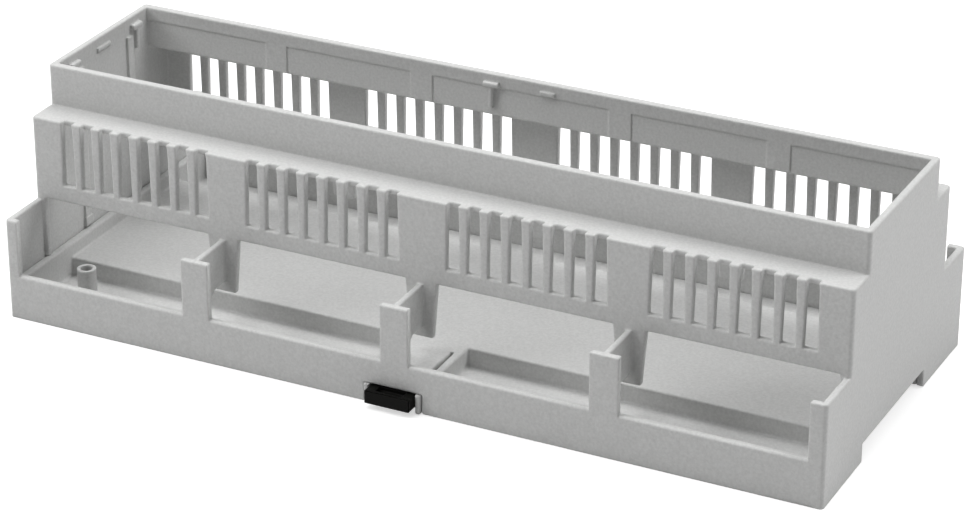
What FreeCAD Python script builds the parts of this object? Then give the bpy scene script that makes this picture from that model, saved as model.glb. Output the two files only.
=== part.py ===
import FreeCAD, Part
import os

os.makedirs("parts", exist_ok=True)
V = FreeCAD.Vector

# Enclosure for a 35 mm rail: body shell, base tray and sliding rail clip, in millimetres
# X runs along the rail, Y from the clip side to the hook side, Z up, origin on the rail seat
# Heights are given above the feet, and every piece is lowered by the seat height at the end

# Overall form
bays = 4                  # wiring bays on each side
bay_pitch = 53.25         # three module widths of 17.75
width = 90.0              # over the low walls
shell_mid_width = 62.0    # over the slotted walls
nose_width = 45.0         # fits the cut-out of a distribution board's cover
height = 58.4
ledge_z = 47.9
post_z = 26.1             # top of the posts and webs
gap_top_z = 26.7          # lower edge of the slotted walls
low_wall_z = 11.6

# Walls and edges of the shell
end_wall = 1.7
low_wall = 1.8
mid_wall = 1.8
nose_wall = 2.05          # at the rim
ledge_plate = 1.5
nose_bevel = 1.3          # height of the bevel under the nose's walls
nose_bevel_run = 2.9      # its depth
corner_round = 1.0
rim_round = 0.4
edge_round = 0.4
sill_round = 0.7          # outer edge of the low walls

# Posts, webs and pillars between the bays
post_shift = -0.4         # the windows and the inner posts sit this much to the side
post_left = 3.45          # from the web's middle to the post's left edge
post_right = 3.75
end_post_width = 3.65
web = 1.5
pillar_width = 8.3        # at the top
end_pillar_width = 2.6
pillar_lean = 0.08        # each side leans in by this much per millimetre of height
pillar_foot_z = 12.3
relief_depth = 2.9        # lower corner of each web, cut away beside the pillar
relief_length = 5.5       # level part of it
relief_start = 1.2        # height of its outer end above the low wall

# Cooling slots, a little wider at the foot
slots_per_bay = 8
slot_pitch = 5.34
slot_top = 2.95
slot_foot = 3.5
slot_sill_z = 31.0
end_slot_shift = 2.0      # the groups of the end bays sit this much towards the middle

# Rim and the fittings for a front panel
rim_band = 3.4            # height of the proud band inside the rim
wall_recess = 0.2         # the nose's long walls lie this much behind the band
pad_width = 6.0
end_pad_shift = 12.5
lug_drop = 2.0            # below the rim
lug_plate = 1.1
lug_proud = 0.7
lug_root = 0.4            # depth by which every fitting is rooted in its wall
hook_plate = 1.2
hook_width = 3.9
hook_proud = 1.3
hook_rib = 1.1
hook_rib_setback = 0.1
hook_drop = 6.5           # height of a hook's rib
long_hook_x = -7.4
long_lug_x = 7.6
long_lug_width = 3.9
end_hook_y = 14.3
end_lug_y = -0.45
end_lug_width = 5.9
end_lug_proud = 0.5
end_lug_step = 0.6        # lugs of the end walls sit this much lower

# Guide ribs for a board on the end walls, wider at the foot
guide_y = 11.5
guide_width = 2.6
guide_proud = 0.6
guide_drop = 4.7          # below the rim
guide_start_z = 11.4
guide_foot_z = 13.7       # top of the wider foot
guide_foot_step = 0.25    # the foot is this much wider on every side

# Rail and rail channel
rail_width = 35.0
rail_metal = 1.0
seat_z = 4.7              # the rail lies against this face
hook_side_gap = 1.9       # from the rail edge to the channel wall
clip_side_gap = 3.1
channel_chamfer = 0.8
grip_gap = 0.2            # air under the rail's edges
grip_bite = 1.4           # reach of the hooks and of the clip under the rail
grip_foot_z = 1.7
grip_tip = 0.6            # blunt edge of a hook
hook_length = 14.0
hook_step = 1.25          # hooks stand this many bays from the middle one
hook_lead = 1.5

# Base tray
tray_plate = 2.4
tray_rib = 1.85           # upright walls of the channel
tray_wall = 2.0           # end walls
tray_fit = 0.1            # air between the tray and the shell
tray_wall_z = 10.8
raised_rear_y = 29.8      # the raised middle of the tray reaches back to here
stop_width = 1.3          # stops below the end pillars
stop_proud = 1.0
wedge_tip = 0.5
snap_width = 8.0
snap_proud = 0.7
snap_z = 1.1

# Screw boss in the front corner of the first bay
boss_end_inset = 13.1     # from the inside of the end wall
boss_side_inset = 10.4    # from the inside of the low wall
boss_top_z = 11.0
boss_radius = 2.35
boss_hole_radius = 1.5
boss_depth = 8.0
boss_fillet = 0.6

# Rail clip and its housing
clip_x = -0.65
clip_width = 11.8
clip_thick = 3.2
clip_slip = 0.15          # running clearance on every side
clip_reach = 3.3          # head beyond the front wall
clip_neck = 0.6           # rear of the head behind the front wall's inner face
clip_body_width = 6.0
clip_chamfer = 0.25
clip_travel = 3.0
clip_nose = 5.4           # length of the wide part behind the channel wall
nose_lead = 2.4
recess_width = 6.9
recess_depth = 1.2
recess_rim = 1.1
recess_length = 2.6
arm = 0.8                 # thickness of a spring arm
arm_length = 9.4
arm_root_inset = 0.9      # middle line of the arm to the clip's side, at its root, bow and tip
arm_bow_inset = 0.55
arm_tip_inset = 1.9
arm_air = 0.3             # above and below the arms
arm_stop = 1.2            # thickness of the stops in front of the arms
cheek = 1.3               # blades beside the clip's head
cheek_reach = 0.7
cheek_gap = 0.2           # from a blade to the shell
housing_left = 9.5        # from the clip's middle line
housing_right = 8.3
tongue_slit = 1.0
slit_step = 0.55          # the slits lie this much inside the slide way
slit_depth = 1.2          # below the underside of the tongue
lip = 1.2                 # rails under the clip

half_length = bays * bay_pitch / 2
half_width = width / 2
mid_half = shell_mid_width / 2
nose_half = nose_width / 2
inner_x = half_length - end_wall
low_inner = half_width - low_wall
mid_inner = mid_half - mid_wall
nose_inner = nose_half - nose_wall
nose_wall_y = nose_inner + wall_recess
ledge_foot = ledge_z - ledge_plate
band_foot = height - rim_band
lug_z = height - lug_drop
channel_front = -(rail_width / 2 + clip_side_gap)
channel_rear = rail_width / 2 + hook_side_gap
grip_z = seat_z - rail_metal - grip_gap
grip_tip_y = rail_width / 2 - grip_bite
tray_x = inner_x - tray_fit
tray_y = low_inner - tray_fit
rib_front = channel_front - tray_rib
rib_rear = channel_rear + tray_rib
tray_roof_z = seat_z + tray_plate
bevel_z = ledge_foot + nose_bevel
clip_half = clip_width / 2
slide_half = clip_half + clip_slip
slide_roof_z = seat_z + clip_slip
clip_foot_z = seat_z - clip_thick
body_half = clip_body_width / 2
arm_tip_y = channel_front - clip_nose - arm_length
arm_stop_y = arm_tip_y - clip_travel - 2 * arm_air
beyond = 20.0             # cutters run this far past the outside
overlap = 0.5             # pieces of one moulding run into each other by this much
bay_lines = [bay_pitch * (i - bays / 2) for i in range(bays + 1)]
post_lines = [x + post_shift for x in bay_lines]


def box(x0, x1, y0, y1, z0, z1):
    return Part.makeBox(x1 - x0, y1 - y0, z1 - z0, V(x0, y0, z0))


def along_x(points, x0, x1):
    # An outline of (y, z) points drawn out along X
    corners = [V(x0, y, z) for y, z in points]
    return Part.Face(Part.makePolygon(corners + corners[:1])).extrude(V(x1 - x0, 0, 0))


def along_y(points, y0, y1):
    # An outline of (x, z) points drawn out along Y
    corners = [V(x, y0, z) for x, z in points]
    return Part.Face(Part.makePolygon(corners + corners[:1])).extrude(V(0, y1 - y0, 0))


def along_z(points, z0, z1):
    # An outline of (x, y) points drawn out along Z
    corners = [V(x, y, z0) for x, y in points]
    return Part.Face(Part.makePolygon(corners + corners[:1])).extrude(V(0, 0, z1 - z0))


def both_x(shapes):
    return shapes + [shape.mirror(V(0, 0, 0), V(1, 0, 0)) for shape in shapes]


def both_y(shapes):
    return shapes + [shape.mirror(V(0, 0, 0), V(0, 1, 0)) for shape in shapes]


def fuse_all(shapes):
    return shapes[0].multiFuse(shapes[1:]).removeSplitter()


def cut_all(shape, cutters):
    return shape.cut(Part.makeCompound(cutters))


def channel_outline(foot):
    # Section of the space for the rail, with eased lower corners, down to the given height
    return [(channel_front - channel_chamfer, foot), (channel_front - channel_chamfer, 0),
            (channel_front, channel_chamfer), (channel_front, seat_z),
            (channel_rear, seat_z), (channel_rear, channel_chamfer),
            (channel_rear + channel_chamfer, 0), (channel_rear + channel_chamfer, foot)]


def snap_line(wall_y, gap):
    # Section of a snap wedge on the front low wall, grown by a gap where it is the tray's notch
    return [(wall_y - overlap, -gap), (wall_y, -gap), (wall_y + snap_proud + gap, snap_z - wedge_tip),
            (wall_y + snap_proud + gap, snap_z + gap), (wall_y - overlap, snap_z + gap)]


def snap_places():
    return [(a + b) / 2 for a, b in zip(bay_lines, bay_lines[1:])]


def stepped_block():
    # Three blocks of one length, each with rounded corners, make the stepped outline
    steps = [(half_width, post_z, edge_round), (mid_half, ledge_z, edge_round),
             (nose_half, height, rim_round)]
    blocks = []
    for half_y, top, top_round in steps:
        block = box(-half_length, half_length, -half_y, half_y, 0, top)
        upright = [e for e in block.Edges if e.BoundBox.ZLength > top / 2]
        block = block.makeFillet(corner_round, upright)
        rim = [e for e in block.Edges if e.BoundBox.ZMin > top - edge_round / 2]
        blocks.append(block.makeFillet(top_round, rim))
    return fuse_all(blocks)


def rooms():
    # Space inside the nose, behind the slotted walls and behind the low walls
    rim = box(-inner_x, inner_x, -nose_inner, nose_inner, 0, height + beyond)
    nose = box(-inner_x, inner_x, -nose_wall_y, nose_wall_y, -beyond, band_foot)
    middle = box(-inner_x, inner_x, -mid_inner, mid_inner, -beyond, ledge_foot)
    trough = box(-inner_x, inner_x, -low_inner, low_inner, -beyond, low_wall_z)
    rise = overlap * nose_bevel / nose_bevel_run
    bevel_line = [(-nose_wall_y + overlap, bevel_z + rise), (-nose_wall_y - nose_bevel_run, ledge_foot),
                  (-nose_wall_y + overlap, ledge_foot)]
    bevel = along_x(bevel_line, -inner_x, inner_x)
    return [rim, nose, middle, trough] + both_y([bevel])


def window_cut(left, right):
    # One opening above a low wall, which keeps a rounded outer edge
    sill = box(left, right, -half_width - beyond, -half_width + sill_round, low_wall_z - sill_round, height)
    edge = Part.makeCylinder(sill_round, right - left, V(left, -half_width + sill_round,
                             low_wall_z - sill_round), V(1, 0, 0))
    inner = box(left, right, -half_width + sill_round, -low_inner + overlap, low_wall_z, height)
    return sill.cut(edge).fuse(inner)


def bay_cuts():
    # For each bay: the open top, the window in the low wall and the gap between two pillars
    cuts = []
    lean = pillar_lean * (gap_top_z - pillar_foot_z)
    for i in range(bays):
        first = i == 0
        last = i == bays - 1
        left = -inner_x if first else post_lines[i] + web / 2
        right = inner_x if last else post_lines[i + 1] - web / 2
        cuts.append(box(left, right, -low_inner, -mid_half, 0, height))
        left = post_lines[i] + (end_post_width if first else post_right)
        right = post_lines[i + 1] - (end_post_width if last else post_left)
        cuts.append(window_cut(left, right))
        left = bay_lines[i] + end_pillar_width if first else post_lines[i] + pillar_width / 2
        right = bay_lines[i + 1] - end_pillar_width if last else post_lines[i + 1] - pillar_width / 2
        left_foot = left if first else left - lean
        right_foot = right if last else right + lean
        gap = [(left, gap_top_z), (right, gap_top_z), (right_foot, pillar_foot_z),
               (left_foot, pillar_foot_z)]
        cuts.append(along_y(gap, -mid_half - overlap, -mid_inner + overlap))
    cuts.append(box(-inner_x, inner_x, -mid_half - overlap, -mid_inner + overlap, 0, pillar_foot_z))
    return both_y(cuts)


def web_reliefs():
    # The lower corner of each web beside its pillar is cut away on a slope
    top = pillar_foot_z + relief_depth
    outer_end = mid_half + relief_length + relief_depth
    line = [(-mid_half, low_wall_z - overlap), (-mid_half, top), (-mid_half - relief_length, top),
            (-outer_end, low_wall_z + relief_start), (-outer_end, low_wall_z - overlap)]
    return both_y([along_x(line, x - web, x + web) for x in post_lines[1:-1]])


def slot_cuts():
    # Tapered slots through the upright wall, each running out through the ledge above it
    cuts = []
    for i in range(bays):
        middle = (bay_lines[i] + bay_lines[i + 1]) / 2
        if i == 0:
            middle += end_slot_shift
        if i == bays - 1:
            middle -= end_slot_shift
        for k in range(slots_per_bay):
            x = middle + (k - (slots_per_bay - 1) / 2) * slot_pitch
            line = [(x - slot_foot / 2, slot_sill_z), (x + slot_foot / 2, slot_sill_z),
                    (x + slot_top / 2, ledge_foot), (x - slot_top / 2, ledge_foot)]
            cuts.append(along_y(line, -mid_half - overlap, -mid_inner + overlap))
            cuts.append(box(x - slot_top / 2, x + slot_top / 2, -mid_half - overlap,
                            -mid_inner, ledge_foot, height))
    return both_y(cuts)


def clip_window():
    # Gap in the low front wall for the clip and the blades beside it
    half = slide_half + cheek + cheek_gap
    top = seat_z + 2 * clip_slip
    return box(clip_x - half, clip_x + half, -half_width - beyond, -low_inner + overlap, -beyond, top)


def pads():
    # Guide pads inside the long walls of the nose, flush with the rim's band and sloped at the foot
    back = -nose_wall_y - lug_root
    line = [(back, bevel_z), (-nose_wall_y, bevel_z), (-nose_inner, bevel_z + wall_recess),
            (-nose_inner, band_foot), (back, band_foot)]
    places = [bay_pitch / 2, (bays / 2 - 0.5) * bay_pitch - end_pad_shift]
    return both_x(both_y([along_x(line, x - pad_width / 2, x + pad_width / 2) for x in places]))


def long_wall_fittings():
    # A hook, which is a cap on a thin rib, and a lug on each long wall of the nose
    wall = -nose_wall_y
    shapes = []
    shapes.append(box(long_hook_x - hook_width / 2, long_hook_x + hook_width / 2,
                      wall - lug_root, wall + hook_proud, lug_z - hook_plate, lug_z))
    shapes.append(box(long_hook_x - hook_rib / 2, long_hook_x + hook_rib / 2,
                      wall - lug_root, wall + hook_proud - hook_rib_setback, lug_z - hook_drop, lug_z))
    shapes.append(box(long_lug_x - long_lug_width / 2, long_lug_x + long_lug_width / 2,
                      wall - lug_root, wall + lug_proud, lug_z - lug_plate, lug_z))
    return both_y(shapes)


def end_wall_fittings():
    # Two hooks and a lug between them on each end wall
    wall = -inner_x
    lug_top = lug_z - end_lug_step
    lug = box(wall - lug_root, wall + end_lug_proud, end_lug_y - end_lug_width / 2,
              end_lug_y + end_lug_width / 2, lug_top - lug_plate, lug_top)
    cap = box(wall - lug_root, wall + hook_proud, end_hook_y - hook_width / 2,
              end_hook_y + hook_width / 2, lug_z - hook_plate, lug_z)
    rib = box(wall - lug_root, wall + hook_proud - hook_rib_setback, end_hook_y - hook_rib / 2,
              end_hook_y + hook_rib / 2, lug_z - hook_drop, lug_z)
    return both_x([lug] + both_y([cap, rib]))


def board_guides():
    # Two upright ribs on each end wall, each with a wider foot
    wall = -inner_x
    half = guide_width / 2
    rib = box(wall - lug_root, wall + guide_proud, guide_y - half, guide_y + half,
              guide_start_z, height - guide_drop)
    half += guide_foot_step
    foot = box(wall - lug_root, wall + guide_proud + guide_foot_step, guide_y - half, guide_y + half,
               guide_start_z, guide_foot_z)
    return both_x(both_y([rib, foot]))


def tray_stops():
    # Short stops below the end pillars hold the tray down, and snaps catch its long edges
    stops = [box(-inner_x - lug_root, -inner_x + stop_proud, -mid_half, -mid_half + stop_width,
                 tray_wall_z + tray_fit, pillar_foot_z + overlap)]
    snaps = [along_x(snap_line(-low_inner, 0), x - snap_width / 2, x + snap_width / 2)
             for x in snap_places()]
    return both_x(both_y(stops)) + both_y(snaps)


def body_shell():
    channel = along_x(channel_outline(-beyond), -half_length - beyond, half_length + beyond)
    cuts = rooms() + bay_cuts() + web_reliefs() + slot_cuts() + [channel, clip_window()]
    shell = cut_all(stepped_block(), cuts)
    fittings = pads() + long_wall_fittings() + end_wall_fittings() + board_guides() + tray_stops()
    return fuse_all([shell] + fittings)


def screw_boss():
    # A round boss with a small fillet at its foot, turned about its own axis
    points = [V(0, 0, tray_plate - overlap), V(boss_radius + boss_fillet, 0, tray_plate - overlap),
              V(boss_radius + boss_fillet, 0, tray_plate), V(boss_radius, 0, tray_plate + boss_fillet),
              V(boss_radius, 0, boss_top_z), V(0, 0, boss_top_z)]
    dip = boss_fillet * (1 - 0.5 ** 0.5)
    fillet = Part.Arc(points[2], V(boss_radius + dip, 0, tray_plate + dip), points[3]).toShape()
    edges = [Part.makeLine(points[0], points[1]), Part.makeLine(points[1], points[2]), fillet,
             Part.makeLine(points[3], points[4]), Part.makeLine(points[4], points[5]),
             Part.makeLine(points[5], points[0])]
    boss = Part.Face(Part.Wire(edges)).revolve(V(0, 0, 0), V(0, 0, 1), 360)
    boss.translate(V(boss_end_inset - inner_x, boss_side_inset - low_inner, 0))
    return boss


def boss_hole():
    foot = V(boss_end_inset - inner_x, boss_side_inset - low_inner, boss_top_z - boss_depth)
    return Part.makeCylinder(boss_hole_radius, boss_depth + beyond, foot)


def folded_plate():
    # One plate runs from the front wall up over the rail channel and down to the rear wall
    inner_line = [(raised_rear_y - tray_rib, seat_z), (raised_rear_y - tray_rib, 0), (tray_y, 0),
                  (tray_y, tray_plate), (raised_rear_y, tray_plate), (raised_rear_y, tray_roof_z),
                  (rib_front, tray_roof_z), (rib_front, tray_plate), (-tray_y, tray_plate), (-tray_y, 0)]
    rear_rib = [(rib_rear, 0), (rib_rear, seat_z)]
    plate = along_x(channel_outline(0)[1:-1] + rear_rib + inner_line, -tray_x, tray_x)
    end_line = [(tray_y, 0), (tray_y, tray_wall_z), (-tray_y, tray_wall_z), (-tray_y, 0)]
    end = along_x(channel_outline(0)[1:-1] + end_line, -tray_x, -tray_x + tray_wall)
    return [plate] + both_x([end])


def rail_hooks():
    # Fixed hooks on the rear channel wall, sloped below so that the rail slips in
    wall = channel_rear + overlap
    line = [(wall, grip_foot_z), (wall, grip_z), (grip_tip_y, grip_z), (grip_tip_y, grip_z - grip_tip),
            (channel_rear - hook_lead, grip_foot_z)]
    places = [-hook_step * bay_pitch, 0, hook_step * bay_pitch]
    return [along_x(line, x - hook_length / 2, x + hook_length / 2) for x in places]


def across_clip(near, far, y0, y1, z0, z1):
    # The same box on both sides of the clip's middle line
    return [box(clip_x + near, clip_x + far, y0, y1, z0, z1),
            box(clip_x - far, clip_x - near, y0, y1, z0, z1)]


def clip_housing():
    # A block behind the front wall, and the blades that stand out beside the clip's head
    block = box(clip_x - housing_left, clip_x + housing_right, -tray_y, rib_front + overlap,
                0, tray_roof_z)
    blades = across_clip(slide_half, slide_half + cheek, -half_width - cheek_reach,
                         -tray_y + overlap, 0, slide_roof_z)
    return [block] + blades


def slide_way():
    # Room for the clip, and the slits that turn the roof over it into a tongue
    room = box(clip_x - slide_half, clip_x + slide_half, -half_width - beyond, channel_front,
               -beyond, slide_roof_z)
    near = slide_half - slit_step
    slits = across_clip(near, near + tongue_slit, -tray_y, channel_front - clip_nose,
                        slide_roof_z - slit_depth, tray_roof_z + beyond)
    return [room] + slits


def slide_fittings():
    # Lips under the clip, and the stops in front of its spring arms
    lips = across_clip(slide_half - lip, slide_half + overlap, -tray_y, channel_front,
                       0, clip_foot_z - clip_slip)
    stops = across_clip(body_half + clip_slip, slide_half + overlap, arm_stop_y - arm_stop, arm_stop_y,
                        0, slide_roof_z - slit_depth)
    return lips + stops


def base_tray():
    tray = fuse_all(folded_plate() + [screw_boss()] + rail_hooks() + clip_housing())
    notches = [along_x(snap_line(-low_inner, tray_fit), x - snap_width / 2 - tray_fit,
                       x + snap_width / 2 + tray_fit) for x in snap_places()]
    tray = cut_all(tray, slide_way() + [boss_hole()] + both_y(notches))
    return fuse_all([tray] + slide_fittings())


def spring_arm(side):
    # A curved leaf from the wide part of the clip, drawn relaxed, with air before its stop
    root_y = channel_front - clip_nose
    root = V(clip_x + side * (clip_half - arm_root_inset), root_y, 0)
    bow = V(clip_x + side * (clip_half - arm_bow_inset), root_y - arm_length / 2, 0)
    tip = V(clip_x + side * (clip_half - arm_tip_inset), root_y - arm_length, 0)
    circle = Part.Arc(root, bow, tip).toShape().Curve
    foot = V(circle.Center.x, circle.Center.y, clip_foot_z + arm_air)
    run = clip_thick - 2 * arm_air
    ring = Part.makeCylinder(circle.Radius + arm / 2, run, foot)
    ring = ring.cut(Part.makeCylinder(circle.Radius - arm / 2, run, foot))
    x0, x1 = sorted((clip_x + side * body_half, clip_x + side * clip_half))
    return ring.common(box(x0, x1, tip.y, root_y + overlap, clip_foot_z, seat_z))


def rail_clip():
    front = -half_width - clip_reach
    neck = -low_inner + clip_neck
    left = clip_x - clip_half
    right = clip_x + clip_half
    head = along_z([(left, neck), (left, front + clip_chamfer), (left + clip_chamfer, front),
                    (right - clip_chamfer, front), (right, front + clip_chamfer), (right, neck)],
                   clip_foot_z, seat_z)
    nose_start = channel_front - clip_nose
    body = box(clip_x - body_half, clip_x + body_half, neck - overlap, nose_start + overlap,
               clip_foot_z, seat_z)
    nose_line = [(nose_start, clip_foot_z), (nose_start, seat_z), (channel_front - clip_slip, seat_z),
                 (channel_front + rail_metal, grip_z), (-grip_tip_y, grip_z),
                 (-grip_tip_y, grip_z - grip_tip), (-grip_tip_y - nose_lead, clip_foot_z)]
    nose = along_x(nose_line, left, right)
    recess = box(clip_x - recess_width / 2, clip_x + recess_width / 2, front + recess_rim,
                 front + recess_rim + recess_length, seat_z - recess_depth, seat_z + overlap)
    return fuse_all([head, body, nose, spring_arm(-1), spring_arm(1)]).cut(recess)


for name, shape in (("body_shell", body_shell()), ("base_tray", base_tray()), ("rail_clip", rail_clip())):
    shape.translate(V(0, 0, -seat_z))
    print(name, "solids", len(shape.Solids), "valid", shape.isValid(), "volume", round(shape.Volume, 1))
    shape.exportStep("parts/" + name + ".step")
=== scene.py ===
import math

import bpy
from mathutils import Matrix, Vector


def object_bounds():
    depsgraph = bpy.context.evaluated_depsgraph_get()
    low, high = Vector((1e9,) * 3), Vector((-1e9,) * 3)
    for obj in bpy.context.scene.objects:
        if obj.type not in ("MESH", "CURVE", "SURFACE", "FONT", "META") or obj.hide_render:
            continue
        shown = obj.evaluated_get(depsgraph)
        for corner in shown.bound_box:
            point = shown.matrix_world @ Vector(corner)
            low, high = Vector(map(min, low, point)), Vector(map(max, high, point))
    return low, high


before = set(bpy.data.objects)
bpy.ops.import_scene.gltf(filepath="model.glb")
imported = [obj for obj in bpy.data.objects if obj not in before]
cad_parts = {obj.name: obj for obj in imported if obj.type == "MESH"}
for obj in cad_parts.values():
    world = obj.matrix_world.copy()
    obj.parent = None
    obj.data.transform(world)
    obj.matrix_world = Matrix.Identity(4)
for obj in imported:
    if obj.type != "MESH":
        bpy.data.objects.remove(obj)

# %% [markdown]
# The enclosure comes in as a fixed frame of three mouldings: a light grey body shell, the
# base tray that closes it from below, and a black clip that slides out to free the rail.
# Their shapes stay as they are. This file rounds the moulded edges, gives every surface its
# plastic, and sets up the camera and a plain studio.

cad_low, cad_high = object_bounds()
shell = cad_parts["body_shell"]
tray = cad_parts["base_tray"]
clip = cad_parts["rail_clip"]
MM = 0.001
print("frame size in mm:", [round((b - a) / MM, 1) for a, b in zip(cad_low, cad_high)])

# %% [markdown]
# Both the edges and the plastics below are built from small node trees, so two helpers come
# first: one makes a group with named sockets, the other adds a Math node in one line.

# %% Helpers for node trees
def new_group(name, inputs, outputs, tree_type="ShaderNodeTree"):
    """Makes a node group with named sockets and returns it with its two end nodes."""
    group = bpy.data.node_groups.new(name, tree_type)
    for label, socket_type, value in inputs:
        socket = group.interface.new_socket(label, in_out="INPUT", socket_type=socket_type)
        if value is not None:
            socket.default_value = value
    for label, socket_type in outputs:
        group.interface.new_socket(label, in_out="OUTPUT", socket_type=socket_type)
    return group, group.nodes.new("NodeGroupInput"), group.nodes.new("NodeGroupOutput")


def maths(tree, operation, *values, clamp=False):
    """A Math node whose inputs are numbers or sockets. Returns its output socket."""
    node = tree.nodes.new("ShaderNodeMath")
    node.operation = operation
    node.use_clamp = clamp
    for slot, value in zip(node.inputs, values):
        if isinstance(value, bpy.types.NodeSocket):
            tree.links.new(value, slot)
        else:
            slot.default_value = value
    return node.outputs[0]


# %% [markdown]
# No moulded edge is truly sharp. Even where a tool is cut crisply, the plastic leaves a
# radius of a few tenths of a millimetre, and that radius catches the light as a thin pale
# line. The line tells the eye that this is a moulding and not folded card. A Bevel node in
# the material could fake it, but then the exported mesh would still be sharp. So modifiers
# roll the edges, and each mesh keeps its own vertices. Some steps are only 0.2 mm high, too
# small for the radius, and have to be found first: a long strip is about twice its area over
# its outline wide.

# %% How wide a face is
def on_domain(group, value, domain):
    """The value as it is on another domain of the mesh, such as its faces."""
    node = group.nodes.new("GeometryNodeFieldOnDomain")
    node.domain = domain
    node.data_type = "FLOAT"
    group.links.new(value, node.inputs["Value"])
    return node.outputs["Value"]


def edge_length(group):
    """At each corner of a face, the length of the edge that follows it."""
    ends = group.nodes.new("GeometryNodeInputMeshEdgeVertices")
    span = group.nodes.new("ShaderNodeVectorMath")
    span.operation = "DISTANCE"
    group.links.new(ends.outputs["Position 1"], span.inputs[0])
    group.links.new(ends.outputs["Position 2"], span.inputs[1])
    beside = group.nodes.new("GeometryNodeEdgesOfCorner")
    length = group.nodes.new("GeometryNodeFieldAtIndex")
    length.domain = "EDGE"
    length.data_type = "FLOAT"
    group.links.new(span.outputs["Value"], length.inputs["Value"])
    group.links.new(beside.outputs["Next Edge Index"], length.inputs["Index"])
    return on_domain(group, length.outputs["Value"], "CORNER")


def face_width(group):
    """Twice the area of a face over its outline, in metres."""
    corners = group.nodes.new("GeometryNodeCornersOfFace").outputs["Total"]
    area = group.nodes.new("GeometryNodeInputMeshFaceArea").outputs["Area"]
    outline = maths(group, "MULTIPLY", edge_length(group), corners)
    return maths(group, "DIVIDE", maths(group, "MULTIPLY", area, 2.0), outline)


# %% [markdown]
# An edge is rolled where its faces meet at a clear angle and both are wide enough. The edges
# of narrow strips get no weight and are marked crisp. A Bevel that clamps its overlaps would
# need no choice, but it would shrink on every edge to suit the smallest step.

# %% Which edges are rolled
EDGE_ANGLE = math.radians(32)
NARROW_BESIDE = 0.01  # an edge reads the mean of its two faces: 0, 0.5 or 1


def build_edge_choice():
    group, given, result = new_group(
        "Edges to roll",
        [("Geometry", "NodeSocketGeometry", None), ("Least width", "NodeSocketFloat", 0.8 * MM)],
        [("Geometry", "NodeSocketGeometry")], "GeometryNodeTree")
    narrow = maths(group, "LESS_THAN", face_width(group), given.outputs["Least width"])
    narrow = on_domain(group, narrow, "FACE")
    beside_narrow = maths(group, "GREATER_THAN", narrow, NARROW_BESIDE)
    angle = group.nodes.new("GeometryNodeInputMeshEdgeAngle").outputs["Unsigned Angle"]
    sharp = maths(group, "GREATER_THAN", angle, EDGE_ANGLE)
    weight = maths(group, "SUBTRACT", sharp, beside_narrow, clamp=True)
    store = group.nodes.new("GeometryNodeStoreNamedAttribute")
    store.domain = "EDGE"
    store.data_type = "FLOAT"
    store.inputs["Name"].default_value = "bevel_weight_edge"
    group.links.new(given.outputs["Geometry"], store.inputs["Geometry"])
    group.links.new(weight, store.inputs["Value"])
    crisp = group.nodes.new("GeometryNodeSetShadeSmooth")
    crisp.domain = "EDGE"
    crisp.inputs["Shade Smooth"].default_value = False
    group.links.new(store.outputs["Geometry"], crisp.inputs["Geometry"])
    group.links.new(maths(group, "MULTIPLY", sharp, beside_narrow), crisp.inputs["Selection"])
    group.links.new(crisp.outputs["Geometry"], result.inputs["Geometry"])
    return group


edge_choice = build_edge_choice()
width_socket = edge_choice.interface.items_tree["Least width"].identifier
print("made the group", edge_choice.name)

# %% [markdown]
# Five modifiers work in turn on a copy of each mesh. Weld joins the facets, a planar Decimate
# removes the seams inside flat faces, the tree above picks the edges, and Bevel rolls them.
# Last, Weighted Normal lets the largest face at each corner set the normal, so that flat
# walls keep an even shade up to their edges. Fillets in the CAD would look the same, but
# would multiply its faces for a few tenths of a millimetre.

# %% Rounded moulded edges
WELD_GAP = 0.002 * MM
FLAT_ANGLE = math.radians(0.4)
WIDTH_PER_RADIUS = 2.2  # a strip has to hold the roll of both its edges
LARGEST_FACE_LEADS = 100


def round_edges(node, radius, segments):
    """Rolls the sharp edges of a moulding without touching its own mesh."""
    weld = node.modifiers.new("Join facets", "WELD")
    weld.merge_threshold = WELD_GAP
    flat = node.modifiers.new("Clean flats", "DECIMATE")
    flat.decimate_type = "DISSOLVE"
    flat.angle_limit = FLAT_ANGLE
    choice = node.modifiers.new("Edges to roll", "NODES")
    choice.node_group = edge_choice
    choice[width_socket] = WIDTH_PER_RADIUS * radius
    bevel = node.modifiers.new("Moulded edges", "BEVEL")
    bevel.width = radius
    bevel.segments = segments
    bevel.limit_method = "WEIGHT"
    bevel.use_clamp_overlap = False
    bevel.miter_outer = "MITER_SHARP"
    calm = node.modifiers.new("Flat faces stay flat", "WEIGHTED_NORMAL")
    calm.keep_sharp = True
    calm.weight = LARGEST_FACE_LEADS
    node.data.shade_smooth()
    shaded = node.evaluated_get(bpy.context.evaluated_depsgraph_get())
    print(node.name, "has", len(shaded.data.polygons), "faces with its edges rolled")


round_edges(shell, radius=0.35 * MM, segments=2)
round_edges(tray, radius=0.45 * MM, segments=3)
round_edges(clip, radius=0.25 * MM, segments=2)

# %% [markdown]
# The grey and the black plastic share three effects, so each effect is a node group with
# named sockets. The first is the grain that a spark-eroded tool leaves: a fine pebble, much
# smaller than a wall's thickness. Noise in the object's own space needs no unwrapping and
# shows no seams. It comes out as a height for bump and as a tone that varies a little.

# %% A group for the moulded grain
NOISE_MIDDLE = 0.5
FINER_BY = 2.7
FINE_SHARE = 0.4


def noise(tree, place, scale, detail, roughness=0.5):
    """A Noise node. scale may be a number or a socket. Returns its value socket."""
    node = tree.nodes.new("ShaderNodeTexNoise")
    tree.links.new(place, node.inputs["Vector"])
    if isinstance(scale, bpy.types.NodeSocket):
        tree.links.new(scale, node.inputs["Scale"])
    else:
        node.inputs["Scale"].default_value = scale
    node.inputs["Detail"].default_value = detail
    node.inputs["Roughness"].default_value = roughness
    return node.outputs["Fac"]


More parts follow.
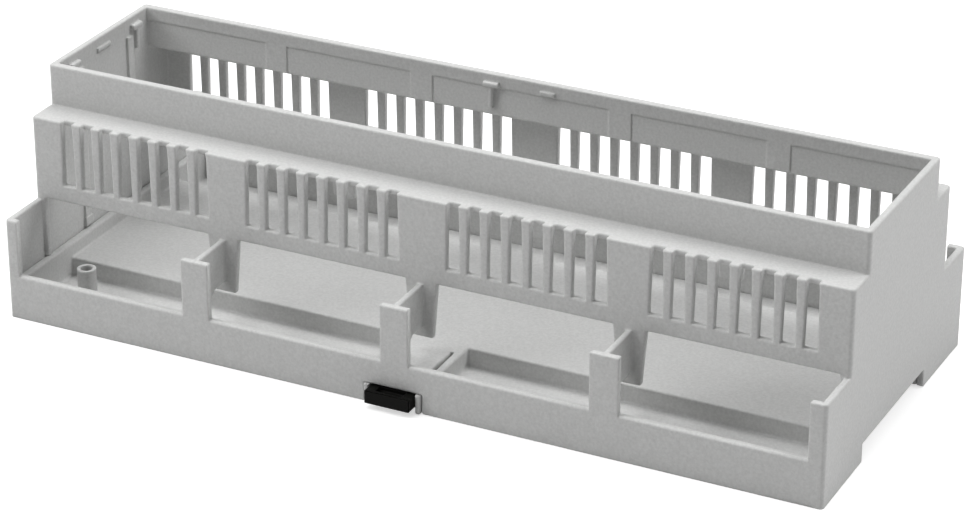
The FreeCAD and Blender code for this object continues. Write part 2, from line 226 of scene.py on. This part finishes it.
def build_grain():
    group, given, result = new_group(
        "Moulded grain",
        [("Place", "NodeSocketVector", None), ("Grains per metre", "NodeSocketFloat", 1500.0)],
        [("Height", "NodeSocketFloat"), ("Tone", "NodeSocketFloat")])
    place = given.outputs["Place"]
    grains = given.outputs["Grains per metre"]
    coarse = noise(group, place, grains, detail=3.0, roughness=0.6)
    fine = noise(group, place, maths(group, "MULTIPLY", grains, FINER_BY), detail=1.0)
    height = maths(group, "MULTIPLY_ADD", fine, FINE_SHARE, coarse)
    group.links.new(height, result.inputs["Height"])
    group.links.new(maths(group, "SUBTRACT", coarse, NOISE_MIDDLE), result.inputs["Tone"])
    return group


grain_group = build_grain()
print("made the group", grain_group.name)

# %% [markdown]
# The second effect is flow: molten plastic cools unevenly, so a large face is never one
# exact grey. It drifts very slowly from place to place, in patches that are longest along
# the housing. A painted map could do the same, but one stretched Noise node is enough.

# %% A group for slow drift of colour
PATCH_STRETCH = (0.45, 1.0, 1.0)


def build_drift():
    group, given, result = new_group(
        "Slow drift",
        [("Place", "NodeSocketVector", None), ("Patches per metre", "NodeSocketFloat", 28.0)],
        [("Drift", "NodeSocketFloat")])
    stretch = group.nodes.new("ShaderNodeVectorMath")
    stretch.operation = "MULTIPLY"
    stretch.inputs[1].default_value = PATCH_STRETCH
    group.links.new(given.outputs["Place"], stretch.inputs[0])
    patches = noise(group, stretch.outputs[0], given.outputs["Patches per metre"], detail=3.0)
    group.links.new(maths(group, "SUBTRACT", patches, NOISE_MIDDLE), result.inputs["Drift"])
    return group


drift_group = build_drift()
print("made the group", drift_group.name)

# %% [markdown]
# The third is a painted highlight on edges. Every edge is painted a touch paler than the
# grained faces, as if light caught it, and made a little smoother. A Bevel node gives a normal
# that leans near an edge, and the more it leans away from the true one, the nearer the edge.
# The same leaning normal is handed out too, and softens the shading of every edge a little
# further than the small rolled faces reach.

# %% A group for painted edge highlights
HIGHLIGHT_PATCHES_PER_METRE = 900.0
HIGHLIGHT_LEAST = 1.4
HIGHLIGHT_VARIES_BY = 3.6


# Painted highlight: the mask below paints every edge paler, where light would catch a rounded
# edge.
def build_edge_highlight():
    group, given, result = new_group(
        "Painted edge highlight",
        [("Place", "NodeSocketVector", None), ("Reach", "NodeSocketFloat", 0.6 * MM)],
        [("Painted highlight", "NodeSocketFloat"), ("Rounded normal", "NodeSocketVector")])
    lean = group.nodes.new("ShaderNodeBevel")
    lean.samples = 4
    group.links.new(given.outputs["Reach"], lean.inputs["Radius"])
    true_side = group.nodes.new("ShaderNodeNewGeometry")
    match = group.nodes.new("ShaderNodeVectorMath")
    match.operation = "DOT_PRODUCT"
    group.links.new(lean.outputs["Normal"], match.inputs[0])
    group.links.new(true_side.outputs["Normal"], match.inputs[1])
    edge = maths(group, "SUBTRACT", 1.0, match.outputs["Value"], clamp=True)
    patchy = noise(group, given.outputs["Place"], HIGHLIGHT_PATCHES_PER_METRE, detail=3.0)
    strength = maths(group, "MULTIPLY_ADD", patchy, HIGHLIGHT_VARIES_BY, HIGHLIGHT_LEAST)
    broken = maths(group, "MULTIPLY", edge, strength)
    group.links.new(maths(group, "MINIMUM", broken, 1.0), result.inputs["Painted highlight"])
    group.links.new(lean.outputs["Normal"], result.inputs["Rounded normal"])
    return group


edge_highlight_group = build_edge_highlight()
print("made the group", edge_highlight_group.name)

# %% [markdown]
# Each plastic is one Principled shader, which can stand for any solid plastic without extra
# layers. The groups only nudge its colour, roughness and bump, so one recipe serves all
# three mouldings and only its values change.

# %% A recipe for moulded plastic
ROUGHER_BY_TONE = 0.25
SMOOTHER_AT_EDGE_HIGHLIGHT = -0.12
GRAIN_DEPTH = 0.03 * MM
PLASTIC_IOR = 1.52


def put(tree, group, place, **values):
    """Places a node group, joins its Place socket and sets its own values."""
    node = tree.nodes.new("ShaderNodeGroup")
    node.node_tree = group
    tree.links.new(place, node.inputs["Place"])
    for label, value in values.items():
        node.inputs[label.replace("_", " ")].default_value = value
    return node


def paint(tree, colour, change, pale, painted_highlight):
    """The colour times its small changes, mixed with the pale one as a painted edge highlight."""
    toned = tree.nodes.new("ShaderNodeVectorMath")
    toned.operation = "SCALE"
    toned.inputs[0].default_value = colour[:3]
    tree.links.new(change, toned.inputs["Scale"])
    mixed = tree.nodes.new("ShaderNodeMix")
    mixed.data_type = "RGBA"
    tree.links.new(painted_highlight, mixed.inputs["Factor"])
    tree.links.new(toned.outputs[0], mixed.inputs["A"])
    mixed.inputs["B"].default_value = pale
    return mixed.outputs["Result"]


def plastic(name, colour, pale, roughness, shine, grains, bump, drift, tone, edge_highlight, reach):
    """A moulded plastic: drifting colour, grained surface and a painted highlight on its edges.
    """
    material = bpy.data.materials.new(name)
    material.use_nodes = True
    tree = material.node_tree
    shader = tree.nodes["Principled BSDF"]
    place = tree.nodes.new("ShaderNodeTexCoord").outputs["Object"]
    grain = put(tree, grain_group, place, Grains_per_metre=grains)
    slow = put(tree, drift_group, place)
    edges = put(tree, edge_highlight_group, place, Reach=reach)
    change = maths(tree, "MULTIPLY_ADD", slow.outputs["Drift"], drift, 1.0)
    change = maths(tree, "MULTIPLY_ADD", grain.outputs["Tone"], tone, change)
    painted_highlight = maths(tree, "MULTIPLY", edges.outputs["Painted highlight"], edge_highlight)
    # The edge mask paints a pale colour on the edges here, as a painted highlight.
    tree.links.new(paint(tree, colour, change, pale, painted_highlight), shader.inputs["Base Color"])
    rough = maths(tree, "MULTIPLY_ADD", grain.outputs["Tone"], ROUGHER_BY_TONE, roughness)
    rough = maths(tree, "MULTIPLY_ADD", edges.outputs["Painted highlight"], SMOOTHER_AT_EDGE_HIGHLIGHT, rough)
    tree.links.new(rough, shader.inputs["Roughness"])
    relief = tree.nodes.new("ShaderNodeBump")
    relief.inputs["Strength"].default_value = bump
    relief.inputs["Distance"].default_value = GRAIN_DEPTH
    tree.links.new(grain.outputs["Height"], relief.inputs["Height"])
    tree.links.new(edges.outputs["Rounded normal"], relief.inputs["Normal"])
    tree.links.new(relief.outputs["Normal"], shader.inputs["Normal"])
    shader.inputs["IOR"].default_value = PLASTIC_IOR
    shader.inputs["Specular IOR Level"].default_value = shine
    return material


# %% [markdown]
# The housing is a neutral light grey, as rail housings usually are, written as a linear
# colour. The tray is the same grey with a painted edge highlight half as strong. The black
# clip has a finer grain, is a little smoother and has hardly any shine, so that it stays as
# dark as a real one under the soft lights. Its edges are painted a dark grey, as a highlight
# and light scuffs.

# %% The three mouldings in their plastics
LIGHT_GREY = (0.590, 0.592, 0.586, 1.0)
# The pale grey below is painted on the edges as a highlight.
PAINTED_EDGE_HIGHLIGHT = (0.84, 0.84, 0.83, 1.0)
BLACK = (0.0045, 0.0045, 0.004, 1.0)
# The dark grey below is painted on the clip's edges as a highlight and light scuffs.
BLACK_EDGE_HIGHLIGHT_AND_SCUFF = (0.06, 0.06, 0.056, 1.0)


def dress(node, material):
    """Gives every face of a node the same material."""
    node.data.materials.clear()
    node.data.materials.append(material)
    print(node.name, "is dressed in", material.name)


grey_look = dict(colour=LIGHT_GREY, pale=PAINTED_EDGE_HIGHLIGHT, roughness=0.5, shine=0.4,
                 grains=1500.0, bump=0.5, drift=0.05, tone=0.42, reach=0.8 * MM)
dress(shell, plastic("Light grey moulding", edge_highlight=1.0, **grey_look))
dress(tray, plastic("Light grey tray moulding", edge_highlight=0.5, **grey_look))
dress(clip, plastic("Black moulding", colour=BLACK, pale=BLACK_EDGE_HIGHLIGHT_AND_SCUFF, roughness=0.42,
                    shine=0.05, grains=3400.0, bump=0.2, drift=0.2, tone=0.2, edge_highlight=0.35,
                    reach=0.5 * MM))

# %% [markdown]
# The camera stands where the photograph was taken: to the right of the front, looking
# down by about 26 degrees through a long lens. Its place was worked out from the outline of
# the housing, whose size is known. It could be aimed with a Track To constraint, but that
# leaves no room for the small roll, so its three axes are written out.

# %% Camera
PHOTO_WIDTH = 968
FOCAL_PIXELS = 3479.7
EYE = Vector((335.72, -676.17, 379.86)) * MM
AZIMUTH = math.radians(-26.357)
ELEVATION = math.radians(-25.78)
ROLL = math.radians(0.087)
SENSOR_WIDTH = 36.0
NEAREST_SEEN, FARTHEST_SEEN = 0.01, 60.0


def make_camera():
    data = bpy.data.cameras.new("Camera")
    camera = bpy.data.objects.new("Camera", data)
    bpy.context.scene.collection.objects.link(camera)
    data.sensor_fit = "HORIZONTAL"
    data.sensor_width = SENSOR_WIDTH
    data.lens = FOCAL_PIXELS / PHOTO_WIDTH * SENSOR_WIDTH
    data.clip_start, data.clip_end = NEAREST_SEEN, FARTHEST_SEEN
    forward = Vector((math.sin(AZIMUTH) * math.cos(ELEVATION),
                      math.cos(AZIMUTH) * math.cos(ELEVATION), math.sin(ELEVATION)))
    level = forward.cross(Vector((0, 0, 1))).normalized()
    upright = level.cross(forward)
    right = level * math.cos(ROLL) + upright * math.sin(ROLL)
    up = upright * math.cos(ROLL) - level * math.sin(ROLL)
    turn = Matrix((right, up, -forward)).transposed()
    camera.matrix_world = Matrix.Translation(EYE) @ turn.to_4x4()
    bpy.context.scene.camera = camera
    return camera


camera = make_camera()
print("lens of", round(camera.data.lens, 1), "mm")

# %% [markdown]
# A product shot of this kind has large soft lights above, one of them from the rear right,
# and weaker fills at the sides. The top faces are the brightest, the end comes next, and
# the long front is a middle grey. Small lamps or a sun would draw hard shadows into the
# bays. The lamps stay at a level at which the plastic renders about as its colour is written.

# %% Lights
def soft_light(name, place, size, watts):
    """A rectangular lamp that points at the middle of the housing."""
    data = bpy.data.lights.new(name, "AREA")
    data.shape = "RECTANGLE"
    data.size, data.size_y = size
    data.energy = watts
    lamp = bpy.data.objects.new(name, data)
    bpy.context.scene.collection.objects.link(lamp)
    lamp.location = place
    lamp.rotation_euler = (-Vector(place)).to_track_quat("-Z", "Y").to_euler()
    print(name, "gives", watts, "watts")


soft_light("Large light above", place=(-0.15, 0.25, 1.5), size=(1.6, 1.2), watts=13.4)
soft_light("Above the front", place=(-0.35, -0.5, 1.5), size=(0.6, 0.6), watts=6.0)
soft_light("Second from the rear right", place=(1.03, 0.45, 1.26), size=(0.8, 0.8), watts=11.2)
soft_light("Fill from the left", place=(-0.75, -0.45, 0.65), size=(0.5, 0.5), watts=4.1)
soft_light("Fill from the right", place=(1.4, 0.0, 0.7), size=(0.7, 0.7), watts=1.0)

# %% [markdown]
# The background is pure white. More light would whiten it too, but would wash out the grey.
# So the world and the floor add their white only to what the camera sees, straight or in a
# reflection, and no extra light reaches the housing. The floor is pale and keeps a faint
# contact shadow. From below it is clear, so that the underside can be looked at too. It lies
# a hair under the feet, because two faces in one plane would flicker.

# %% Floor and white surroundings
WHITE = (1.0, 1.0, 1.0, 1.0)
WORLD_LEVEL = 0.035
FLOOR_GREY = (0.68, 0.68, 0.68, 1.0)
FLOOR_GLOW = 0.6
FLOOR_HALF = 12.0
FLOOR_GAP = 0.02 * MM


def seen_by_camera(tree):
    """1 where a ray comes straight from the camera or was only mirrored or refracted."""
    path = tree.nodes.new("ShaderNodeLightPath")
    seen = maths(tree, "MAXIMUM", path.outputs["Is Camera Ray"], path.outputs["Is Glossy Ray"])
    return maths(tree, "MAXIMUM", seen, path.outputs["Is Transmission Ray"])


def make_world():
    world = bpy.data.worlds.new("Studio")
    bpy.context.scene.world = world
    world.use_nodes = True
    tree = world.node_tree
    glow = tree.nodes["Background"]
    glow.inputs["Color"].default_value = WHITE
    seen = seen_by_camera(tree)
    strength = maths(tree, "MULTIPLY_ADD", seen, 1.0 - WORLD_LEVEL, WORLD_LEVEL)
    tree.links.new(strength, glow.inputs["Strength"])


def floor_paint():
    """Pale paint with a glow for the camera on its upper side, and nothing below."""
    material = bpy.data.materials.new("Pale floor")
    material.use_nodes = True
    tree = material.node_tree
    tree.nodes.remove(tree.nodes["Principled BSDF"])
    matt = tree.nodes.new("ShaderNodeBsdfDiffuse")
    matt.inputs["Color"].default_value = FLOOR_GREY
    glow = tree.nodes.new("ShaderNodeEmission")
    strength = maths(tree, "MULTIPLY", seen_by_camera(tree), FLOOR_GLOW)
    tree.links.new(strength, glow.inputs["Strength"])
    both = tree.nodes.new("ShaderNodeAddShader")
    tree.links.new(matt.outputs[0], both.inputs[0])
    tree.links.new(glow.outputs[0], both.inputs[1])
    sides = tree.nodes.new("ShaderNodeMixShader")
    clear = tree.nodes.new("ShaderNodeBsdfTransparent")
    facing = tree.nodes.new("ShaderNodeNewGeometry")
    tree.links.new(facing.outputs["Backfacing"], sides.inputs[0])
    tree.links.new(both.outputs[0], sides.inputs[1])
    tree.links.new(clear.outputs[0], sides.inputs[2])
    tree.links.new(sides.outputs[0], tree.nodes["Material Output"].inputs["Surface"])
    return material


def make_floor(height):
    low, high = -FLOOR_HALF, FLOOR_HALF
    corners = [(low, low, height), (high, low, height), (high, high, height), (low, high, height)]
    mesh = bpy.data.meshes.new("Floor")
    mesh.from_pydata(corners, [], [(0, 1, 2, 3)])
    mesh.materials.append(floor_paint())
    floor = bpy.data.objects.new("Floor", mesh)
    bpy.context.scene.collection.objects.link(floor)
    print("floor at", round(height / MM, 2), "mm")


make_world()
make_floor(cad_low[2] - FLOOR_GAP)
bpy.context.scene.view_settings.view_transform = "Standard"
